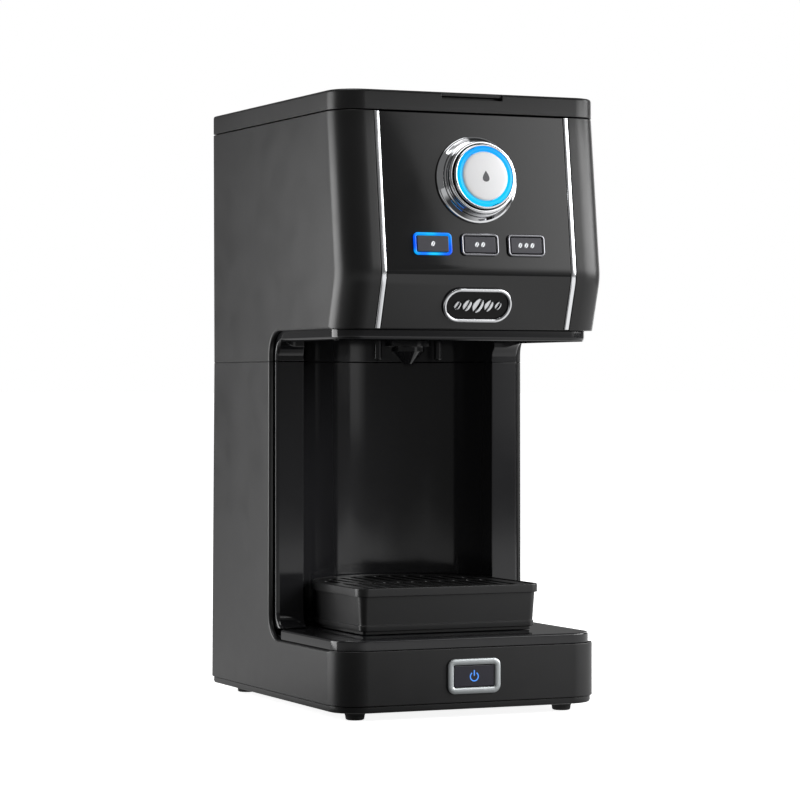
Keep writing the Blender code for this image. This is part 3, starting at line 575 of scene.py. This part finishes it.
def behind_recess(z0, z1):
    """What lies behind the wall of the curved recess."""
    return cut(block("c", -68.2, 68.2, Y_PILLAR + 2.2, 80, z0, z1), recess(RECESS_R + 2.2, z0 - 1, z1 + 1))


def upper_liner():
    x = HALF_W - 3.0
    low = rounded(-x, x, sloped_y(Z_LIP) + 3.0, 56.2, 12.5, back=1.0)
    high = rounded(-x, x, sloped_y(Z_HEAD) + 5.9, 56.2, 12.0, back=1.0)
    body = stack("bay_ceiling", [level(low, Z_SEAM + GAP), level(low, Z_HEAD - 0.2),
                                 level(high, Z_HEAD + 0.2), level(high, 199)])
    inside = rounded(-x + 2.4, x - 2.4, Y_HEAD_LOW + 8.4, Y_PILLAR - 2, 8.0)
    above = rounded(-x + 2.4, x - 2.4, Y_HEAD_LOW + 10.4, Y_PILLAR - 2, 6.0)
    # the bay, the ceiling inside its lip, the recess, what lies behind it, and the hollow above
    cut(body, across("c", bay(Y_PILLAR, Z_SEAM - 60, Z_LIP, LINER_CORNER), -90, 90),
        slab("c", inside, Z_LIP - 10, 191.0), recess(RECESS_R, Z_SEAM - 10, 191.0),
        block("c", -53, 53, -20, 12, Z_SEAM - 10, 191.0), behind_recess(Z_SEAM - 5, 205),
        slab("c", above, 193.2, 205), recess(50.0, 193.3, 205, 64), recess(13.2, 185, 205, 64))
    pin = [(0, 178.8), (1.3, 178.8), (1.8, 179.0), (2.1, 179.6), (2.1, 192), (0, 192)]
    for side in (-1, 1):
        fuse(body, turned("a", pin, about(side * PIN_X, AXIS_Y), steps=32))
    soften(body, lambda x, y, z: z < Z_LIP + 0.3 and y < Y_PILLAR + 0.3 and (abs(x) > 69 or y < -66), 2.0)
    piece(body, "body", "upper_liner", "black_gloss", material="gloss", bevel=0.4)


def lower_housing():
    def ring(z, inset, radius, back):
        half = BASE_HALF_W + (HALF_W - BASE_HALF_W) * max(0, (z - Z_BASE_TOP)) / (Z_SEAM - Z_BASE_TOP)
        return level(rounded(-half + inset, half - inset, Y_BASE_FRONT + inset, back_y(z) - inset,
                             radius, back=back), z)
    heights = [Z_BASE, Z_BASE_TOP, Z_SEAM - 0.02]
    body = stack("base_and_column", [ring(z, 0, 16.4, BACK_RADIUS) for z in heights]
                 + [ring(z, WALL, 13.9, 1.6) for z in heights[::-1]], hollow=True)
    cut(body, across("c", bay(Y_COLUMN, Z_BASE_TOP, Z_SEAM + 60, CORNER), -90, 90),
        stack("c", [ring_on(on_base, 24.8, 13.4, 2.2, w) for w in (-12, 12)]),
        rod(CORD_HOLE_R, 80, 120, lambda u, v, w: (CORD_X + u, w, CORD_Z + v), 48))
    for x, y in SCREWS:
        x0, x1 = sorted((x - math.copysign(4, x), x + math.copysign(7.2, x)))
        fuse(body, block("a", x0, x1, y - 5, y + 5, 12, 32))
        cut(body, rod(1.8, 5, 26, about(x, y), 24))
    soften(body, lambda x, y, z: abs(x) > HALF_W - 0.3 and y < Y_COLUMN + 0.3 and z > Z_BASE_TOP - 0.3, 1.2)
    piece(body, "body", "lower_housing", "black_satin", material="base", bevel=0.35)


def lower_liner():
    x = HALF_W - 3.0
    body = slab("cup_bay_wall", [(-x, 1.0), (x, 1.0), (x, 56.2), (-x, 56.2)], Z_DECK + GAP, Z_SEAM + 0.1)
    cut(body, across("c", bay(Y_PILLAR, Z_DECK + 0.9, Z_SEAM + 60, LINER_CORNER), -90, 90),
        recess(RECESS_R, 20, 200), behind_recess(20, 200))
    soften(body, lambda x, y, z: abs(x) > 70.2 and y < Y_PILLAR + 0.3 and z > Z_DECK + 0.7, 2.0)
    piece(body, "body", "lower_liner", "black_gloss", material="gloss", bevel=0.4)


def deck_plate():
    front, back = BASE_HALF_W - 2.0, HALF_W - 3.0

    def plan(by):
        """Outline of the plate, drawn in by a distance."""
        half = [p for p in rounded(-front + by, front - by, Y_BASE_FRONT + 2.0 + by, 100, 14.4 - by)
                if p[1] < 0]
        right, left = [p for p in half if p[0] > 0], [p for p in half if p[0] < 0]
        return (left + right + [(front - by, -1.5 - by), (back - by, -1.5 - by), (back - by, 60),
                                (-back + by, 60), (-back + by, -1.5 - by), (-front + by, -1.5 - by)])
    steps = ((0, Z_BASE_TOP + GAP), (0, Z_DECK - 1.0), (0.13, Z_DECK - 0.5), (0.5, Z_DECK - 0.13),
             (1.0, Z_DECK))
    piece(stack("gloss_deck", [level(plan(by), z) for by, z in steps]), "body", "deck_plate", "black_gloss",
          material="gloss")


def base_cover():
    def ring(inset, z):
        half = BASE_HALF_W - 1.0 - inset
        return level(rounded(-half, half, Y_BASE_FRONT + 1 + inset, Y_BACK_BASE - 1 - inset,
                             15.4 - inset, back=max(3 - inset, 0.6)), z)
    body = stack("bottom_cover", [ring(1.2, Z_COVER), ring(0.35, Z_COVER + 0.35), ring(0, Z_COVER + 1.2),
                                  ring(0, Z_BASE - GAP), ring(1.9, Z_BASE - GAP), ring(1.9, 10.5),
                                  ring(3.7, 10.5), ring(3.7, 4.6)])
    for x, y in SCREWS:
        cut(body, rod(3.6, 0, 12, about(x, y), 32))
    for i in range(6):          # vents
        cut(body, slab("c", rounded(14 + i * 7, 17 + i * 7, -20, 20, 1.4, 6, back_steps=6), 0, 9))
    piece(body, "body", "base_cover", "black_satin", material="base", bevel=0.25)


def feet():
    profile = [(0, -1.6), (2.4, -1.6), (2.7, -SHIFT_Z), (3.9, -SHIFT_Z), (4.5, -1.75), (4.75, -1.3),
               (4.95, 0.2), (5.2, 0.9), (5.7, 1.35), (6.1, 1.6), (6.2, 2.1), (0, 2.1)]
    for name, (x, y) in FEET.items():
        piece(turned(name + "_pad", profile, about(x, y), steps=48), "body", name, "black_rubber",
              material="rubber", bevel=0.1, segments=2)


def lid():
    def ring(inset, z):
        return level(rounded(-HALF_W + inset, HALF_W - inset, Y_TOP_FRONT + inset, Y_BACK_TOP - inset,
                             FRONT_RADIUS - inset, back=max(BACK_RADIUS - inset, 1.0)), z)
    low = Z_LID + 0.5
    crown = [(1.4 * (1 - math.cos(a)), Z_TOP - 1.4 + 1.4 * math.sin(a))
             for a in (math.radians(d) for d in (0, 18, 36, 54, 72, 90))]
    body = stack("lid_shell", [ring(0, low)] + [ring(i, z) for i, z in crown])
    inside = rounded(-HALF_W + WALL, HALF_W - WALL, Y_TOP_FRONT + 7.0, Y_BACK_TOP - WALL, 10.0, back=1.5)
    slot = [(-100, Z_TOP - 3.4), (Y_TOP_FRONT + 4.5, Z_TOP - 3.4), (Y_TOP_FRONT + 4.5, Z_TOP - 2.0),
            (Y_TOP_FRONT + 1.2, Z_TOP - 2.0), (Y_TOP_FRONT + 1.2, Z_TOP + 5), (-100, Z_TOP + 5)]
    cut(body, slab("c", inside, low - 2, Z_TOP - 2.4), across("c", slot, -SLOT_HALF, SLOT_HALF))
    for side in (-1, 1):
        x = side * HINGE_X
        fuse(body, barrel("a", x - 6, x + 6, KNUCKLE_R))
        cut(body, barrel("c", x - 14.6, x - 6, KNUCKLE_R + GAP),
            barrel("c", x + 6, x + 14.6, KNUCKLE_R + GAP), barrel("c", x - 20, x + 20, PIN_R + GAP))
    piece(body, "lid", "lid", "black_satin", material="satin", bevel=0.3)


# ---------------------------------------------------------------- controls
def knob():
    """Start button in its stepped bezel; the profiles are (radius, height above the panel)."""
    bezel = [(17.0, -3.2), (18.7, -3.2), (18.7, GAP), (22.2, GAP), (22.2, 0.9), (22.05, 1.3), (21.75, 1.5),
             (21.35, 1.55), (21.1, 1.75), (20.5, 2.6), (19.9, 3.35), (19.6, 3.75), (19.5, 4.2), (19.5, 4.5),
             (19.3, 4.8), (18.95, 4.95), (18.75, 5.2), (18.7, 5.7), (18.7, 7.6), (18.6, 8.2), (18.3, 8.7),
             (17.8, 8.9), (17.3, 8.9), (17.05, 8.8), (17.0, 8.5)]
    piece(turned("bezel_stepped", bezel, on_knob, 144, hollow=True), "body", "knob_bezel", "chrome",
          material="chrome", bevel=0.08, segments=2, crease=ROUND_CREASE)
    rim = [(15.3, -4.0), (16.5, -4.0), (16.5, 10.1), (16.42, 10.6), (16.15, 10.95), (15.8, 11.05),
           (15.5, 10.95), (15.3, 10.7)]
    piece(turned("start_rim_bright", rim, on_knob, 144, hollow=True), "start_button", "start_rim", "chrome",
          material="chrome", bevel=0.05, segments=2, crease=ROUND_CREASE)
    light = [(12.8, 4.0), (15.0, 4.0), (15.0, 10.5), (14.85, 10.95), (14.4, 11.2), (13.9, 11.25),
             (13.35, 11.2), (12.95, 10.95), (12.8, 10.6)]
    piece(turned("start_light", light, on_knob, 144, hollow=True), "start_button", "start_light_ring",
          "light_blue", material="glow_ring")
    cap = [(0, -6.6), (5, -6.6), (5, -0.2), (12.5, 0), (12.5, 10.9), (12.4, 11.25), (12.15, 11.5),
           (11.6, 11.68), (10.5, 11.8), (8, 11.93), (4, 12.05), (0, 12.1)]
    body = turned("start_cap_face", cap, on_knob, 144)
    piece(body, "start_button", "start_cap", "cap_white", material="cap")
    angles, scale = [2 * math.pi * i / 48 for i in range(48)], 1.35
    drop = [(1.55 * math.sin(a) * math.sin(a / 2) ** 1.4 * 1.25, 2.1 * math.cos(a) - 0.1) for a in angles]
    mark = stack("start_mark_drop", [[on_knob(x * scale, y * scale, w) for x, y in drop]
                                     for w in (11.8, 12.1)])
    piece(mark, "start_button", slot="button_dark", material="engraved")


def half_round(band, low, rise, steps):
    """Distance inwards and height of each ring of a half-round band."""
    for k in range(steps + 1):
        a = math.pi * k / steps
        yield band * (1 - math.cos(a)) / 2, low + rise * math.sin(a) ** 0.7


def framed(name, frame_node, cap_node, body, place, frame, cap, radius, heights, lit, band):
    """Push button in a half-round frame; heights: frame, button's front and back, end of the sleeve."""
    def ring(width, height, corner, out):
        return ring_on(place, width, height, corner, out, 10)
    flange, front, back, sleeve = heights
    inner = (cap[0] + 0.6, cap[1] + 0.6)
    outer = (inner[0] + 1.2, inner[1] + 1.2)
    step = flange - 0.55
    rings = ([ring(*outer, 1.2, sleeve), ring(*outer, 1.2, GAP), ring(*frame, radius, GAP)]
             + [ring(frame[0] - 2 * by, frame[1] - 2 * by, max(radius - by, 0.4), out)
                for by, out in half_round(band, step, flange - step, 8)]
             + [ring(inner[0] + 0.1, inner[1] + 0.1, 0.8, step), ring(*inner, 0.75, step - 0.1),
                ring(*inner, 0.75, sleeve)])
    piece(stack(name + "_frame", rings, hollow=True), "body", frame_node,
          "light_blue" if lit == "glow_frame" else "silver", material=lit, crease=ROUND_CREASE)
    rings = [ring_on(place, *cap, 0.6, back), ring_on(place, *cap, 0.6, front - 0.4),
             ring_on(place, cap[0] - 0.2, cap[1] - 0.2, 0.5, front - 0.12),
             ring_on(place, cap[0] - 0.7, cap[1] - 0.7, 0.4, front)]
    piece(stack(name + "_cap", rings), body, cap_node, "button_dark", material="button")


def bean(place, cx, cy, scale, w0, w1, name):
    """A coffee bean outline with its crease left open: two half lenses."""
    halves, turn = [], math.radians(28)
    for side in (-1, 1):
        edge = [(side * (0.16 + 0.95 * math.sin(a)), 1.55 * math.cos(a))
                for a in (math.pi * i / 20 for i in range(21))]
        crease = [(side * 0.16 + 0.16 * math.sin(math.pi * t), -1.4 + 2.8 * t)
                  for t in (0.2, 0.4, 0.6, 0.8)]
        outline = [(cx + scale * (x * math.cos(turn) + y * math.sin(turn)),
                    cy + scale * (-x * math.sin(turn) + y * math.cos(turn))) for x, y in edge + crease]
        halves.append(stack(f"{name}_{'l' if side < 0 else 'r'}", [[place(x, y, w) for x, y in outline]
                                                                  for w in (w0, w1)]))
    return halves


def mode_buttons():
    for i, name in ((-1, "mild"), (0, "medium"), (1, "strong")):
        place = mode_place(i)
        framed(name, f"frame_{name}", f"button_{name}", f"{name}_button", place, MODE_FRAME, MODE_CAP, 2.4,
               (1.4, 1.1, -6.8, -3.2), "glow_frame" if i < 0 else "frame_dark", 1.25)
        count = i + 2
        for k in range(count):
            x = (k - (count - 1) / 2) * 3.4
            for half in bean(place, x, 0, 0.86, 0.95, 1.13, f"mark_{name}_{k}"):
                piece(half, f"{name}_button", slot="cap_white", material="print")


def power_button():
    framed("power", "power_frame", "button_power", "power_button", on_base, POWER_FRAME, POWER_CAP, 4.0,
           (1.5, 0.9, -6.5, -3.4), "silver", 3.2)
    back, front, n = 0.8, 0.94, 41
    arc = [math.radians(125 + 290 * t / (n - 1)) for t in range(n)]
    rings = [[on_base(r * math.cos(a), r * math.sin(a) - 0.3, w) for a in arc]
             for r, w in ((1.9, back), (2.5, back), (2.5, front), (1.9, front))]
    faces = []
    for i in range(4):
        faces += [(i * n + j, i * n + j + 1, (i + 1) % 4 * n + j + 1, (i + 1) % 4 * n + j)
                  for j in range(n - 1)]
    faces += [(0, n, 2 * n, 3 * n), (n - 1, 4 * n - 1, 3 * n - 1, 2 * n - 1)]
    arc_mark = make("power_mark_arc", [p for ring in rings for p in ring], faces)
    bar = stack("power_mark_bar", [ring_on(lambda u, v, w: on_base(u, v + 1.5, w), 0.62, 2.9, 0.28, w, 4)
                                   for w in (back, front)])
    for mark in (arc_mark, bar):
        piece(mark, "power_button", slot="light_blue", material="glow_mark")


def badge():
    w, h = BADGE

    def place(width, height, out):
        return ring_on(on_badge, width, height, height / 2 - 0.02, out, 24)
    rings = [place(w, h, GAP)]
    rings += [place(w - 2 * by, h - 2 * by, out) for by, out in half_round(1.9, 0.8, 1.08, 10)]
    rings.append(place(w - 3.8, h - 3.8, GAP))
    piece(stack("badge_surround", rings, hollow=True), "body", "badge_ring", "chrome", material="emblem",
          crease=ROUND_CREASE)
    piece(stack("badge_field", [place(w - 4.4, h - 4.4, GAP), place(w - 4.4, h - 4.4, 0.7),
                                place(w - 4.8, h - 4.8, 0.8)]), "body", "badge_plate", "black_satin",
          material="field")
    for k, (x, scale) in enumerate(((-11.2, 1.5), (-6.0, 2.0), (0, 2.5), (6.0, 2.0), (11.2, 1.5))):
        for half in bean(on_badge, x, 0, scale, 0.7, 1.7, f"badge_bean_{k}"):
            piece(half, "body", slot="chrome", material="emblem", bevel=0.42, segments=4)


# ---------------------------------------------------------------- tray
def tray_outline(inset):
    """Square front with rounded corners, and a half circle behind that fits the recess."""
    half, front, radius = TRAY_HALF - inset, TRAY_FRONT + inset, max(5.5 - inset, 1.2)
    side = [(half - radius + radius * math.sin(a), front + radius - radius * math.cos(a))
            for a in (math.radians(d) for d in range(0, 91, 9))]
    side += [(half * math.cos(a), AXIS_Y + half * math.sin(a))
             for a in (math.radians(d) for d in range(0, 90, 2))]
    return side + [(0, AXIS_Y + half)] + [(-x, y) for x, y in side[::-1]]


def tray():
    """Tray in rings of (distance inwards, height), from its foot over the rim, and its slotted grille."""
    steps = ((4.0, Z_DECK + GAP), (3.8, 39.2), (3.8, 40.5), (2.5, 40.6), (2.2, 40.9), (2.0, 43.3),
             (2.1, 43.5), (2.5, 43.7), (2.45, 44.2), (1.4, 58.3),
             (0.15, 58.4), (0, 58.55), (0, 62.2), (0.15, 62.6), (0.5, 62.8), (1.35, 62.8), (1.6, 62.7),
             (1.7, 62.45), (1.7, 60.3), (3.6, 60.2), (4.0, 44.0), (4.6, 42.7), (5.8, 42.4))
    piece(stack("tray_box", [level(tray_outline(i), z) for i, z in steps]), "drip_tray", "drip_tray",
          "black_satin", material="base", bevel=0.12, segments=2, crease=ROUND_CREASE)
    body = slab("tray_grille", tray_outline(2.1), 60.6, 62.3)
    for i in range(-5, 6):
        x = i * GRILLE_PITCH
        reach = math.sqrt(GRILLE_REACH ** 2 - x * x)
        for y0, y1 in ((-50, -9), (-4, AXIS_Y + reach)):
            cut(body, slab("c", rounded(x - 2, x + 2, y0, y1, 1.9, 8, back_steps=8), 55, 70))
    piece(body, "drip_grille", "drip_grille", "black_satin", material="base", bevel=0.25, segments=2)


# ---------------------------------------------------------------- inside pieces kept from the frame
def keep(material, *names, bevel=0.0):
    for name in names:
        dress(NODES[name], material, bevel, segments=2, crease=WIDE_CREASE)


def inside():
    keep("inner", "inner_deck", "lid_inner", "shower_plate", "hot_outlet")
    keep("gloss", "brew_basket", bevel=0.3)
    keep("mesh", "mesh_filter", "tank_strainer")
    keep("steel", "hinge_pin_left", "hinge_pin_right", "screw_front_left", "screw_front_right",
         "screw_back_left", "screw_back_right", "thermostat", "thermal_fuse")
    keep("rubber", "cord_gland", bevel=0.3)
    keep("silicone", "drip_valve", "cold_hose_upper", "cold_hose_lower", "hot_tube", "check_valve")
    keep("cast", "heater")
    keep("tank", "water_tank")
    keep("board", "control_board", "power_board")


# ---------------------------------------------------------------- studio
def camera():
    data = bpy.data.cameras.new("camera")
    data.lens, data.sensor_width = 134.18, 36.0
    data.clip_start, data.clip_end = 0.05, 60
    obj = bpy.data.objects.new("camera", data)
    bpy.context.scene.collection.objects.link(obj)
    obj.location = (-0.6451, -1.4417, 0.1680)
    tilt, turn = 0.2955, -24.0
    obj.rotation_euler = (math.radians(90 - tilt), 0, math.radians(turn))
    bpy.context.scene.camera = obj


def lamp(name, where, target, size, radiance):
    """Soft light that the camera doesn't see, set by the brightness of its face."""
    data = bpy.data.lights.new(name, "AREA")
    data.shape, data.size, data.size_y = "RECTANGLE", *size
    data.energy = radiance * math.pi * size[0] * size[1]
    obj = bpy.data.objects.new(name, data)
    bpy.context.scene.collection.objects.link(obj)
    obj.location = where
    obj.rotation_euler = (Vector(target) - Vector(where)).to_track_quat("-Z", "Y").to_euler()
    obj.visible_camera = False


def staged(name, points, faces, material):
    mesh = bpy.data.meshes.new(name)
    mesh.from_pydata(points, [], faces)
    mesh.materials.append(material)
    obj = bpy.data.objects.new(name, mesh)
    bpy.context.scene.collection.objects.link(obj)
    return obj


def plane(name, half, z, material):
    return staged(name, [(-half, -half, z), (half, -half, z), (half, half, z), (-half, half, z)],
                  [(0, 1, 2, 3)], material)


def world_light():
    """White behind the object for the camera, and a weak even light for everything else."""
    world = bpy.data.worlds.new("studio")
    world.use_nodes = True
    tree = world.node_tree
    tree.nodes.clear()
    out = tree.nodes.new("ShaderNodeOutputWorld")
    seen, lit = tree.nodes.new("ShaderNodeBackground"), tree.nodes.new("ShaderNodeBackground")
    for node, strength in ((seen, 1.0), (lit, 0.14)):
        node.inputs["Color"].default_value, node.inputs["Strength"].default_value = WHITE, strength
    path, mix = tree.nodes.new("ShaderNodeLightPath"), tree.nodes.new("ShaderNodeMixShader")
    tree.links.new(path.outputs["Is Camera Ray"], mix.inputs["Fac"])
    tree.links.new(lit.outputs[0], mix.inputs[1])
    tree.links.new(seen.outputs[0], mix.inputs[2])
    tree.links.new(mix.outputs[0], out.inputs["Surface"])
    bpy.context.scene.world = world


def table():
    """White floor for the camera; the machine is lit by, and reflects, a plane just under it instead."""
    paper = Shader("lit_table_white", (0.90, 0.90, 0.90), 0.6, Emission_Color=WHITE)
    paper.vary(paper.noise(6, 2), 0.58, 0.66)
    paper.emit(paper.remap(paper.distance((0, 0, 0)), (0.3, 1.3), (0.88, 1.0), smooth=True))
    floor = plane("floor", 60.0, 0.0, paper.mat)
    floor.visible_diffuse = floor.visible_glossy = False

    # darker around a point at the front left, and brighter to the right
    bounce = Shader("table_bounce", (0, 0, 0), 1.0, Emission_Color=WHITE)
    rise = bounce.remap(bounce.distance((-0.19, -0.24, 0.0)), (0.17, 0.42), (0.08, 1.0))
    slant = bounce.remap(bounce.axis("X"), (-0.30, 0.15), (0.46, 0.88))
    bounce.emit(bounce.math("MULTIPLY", rise, slant))
    under = plane("table_bounce", 1.6, -0.002, bounce.mat)
    under.visible_camera = under.visible_shadow = False


def front_card():
    """Tall light panel at the front right; a round flag cuts its left edge, and it brightens rightwards."""
    y, right, low, high, count = -2.0, 1.9, 0.10, 1.9, 60
    flag_x, flag_z, flag_w, flag_h = 0.598, 0.70, 0.31, 0.50
    heights = [low + (high - low) * i / count for i in range(count + 1)]
    edge = [flag_x + flag_w * math.sqrt(max(0, 1 - ((z - flag_z) / flag_h) ** 2)) for z in heights]
    points = [(x, y, z) for x, z in zip(edge, heights)] + [(right, y, z) for z in heights]
    faces = [(i, i + 1, count + 2 + i, count + 1 + i) for i in range(count)]
    s = Shader("front_card_light", (0, 0, 0), 1.0, Emission_Color=WHITE)
    rightwards = s.remap(s.axis("X"), (0.86, 1.35), (0.76, 4.2))
    upwards = s.remap(s.axis("Z"), (0.15, 0.75), (0.19, 1.0), smooth=True)
    s.emit(s.math("MULTIPLY", rightwards, upwards))
    card = staged("front_card", points, faces, s.mat)
    card.visible_camera = card.visible_shadow = False


def lamps():
    lamp("left_back", (-0.50, 0.355, 0.12), (0.1, 0.355, 0.12), (0.57, 0.52), 4.5)
    lamp("right_side", (1.5, -0.75, 0.75), (0, -0.3, 0.3), (1.5, 1.0), 6.2)
    lamp("right_back", (1.1, 0.95, 0.35), (0.05, -0.08, 0.25), (0.5, 0.9), 1.8)
    lamp("overhead", (-0.2, -0.1, 1.9), (0, 0, 0.1), (1.3, 1.0), 3.0)


def top_flag():
    """Small dark flag over the lid's front edge, which keeps the front card out of the lid's top."""
    grey = Shader("top_flag_grey", (0.02, 0.02, 0.02), 1.0, Emission_Color=WHITE, Emission_Strength=0.12)
    left, right, y, low, high = -0.12, 0.36, -0.135, 0.329, 0.46
    flag = staged("top_flag", [(left, y, low), (right, y, low), (right, y, high), (left, y, high)],
                  [(0, 1, 2, 3)], grey.mat)
    flag.visible_camera = flag.visible_diffuse = False


def studio():
    world_light()
    table()
    front_card()
    lamps()
    top_flag()
    scene = bpy.context.scene
    scene.view_settings.view_transform = "Standard"
    scene.view_settings.look = "None"


for build in (camera, upper_housing, front_panel, trim_strips, upper_liner, lower_housing, lower_liner,
              deck_plate, base_cover, feet, lid, knob, mode_buttons, power_button, badge, tray, inside,
              studio):
    build()
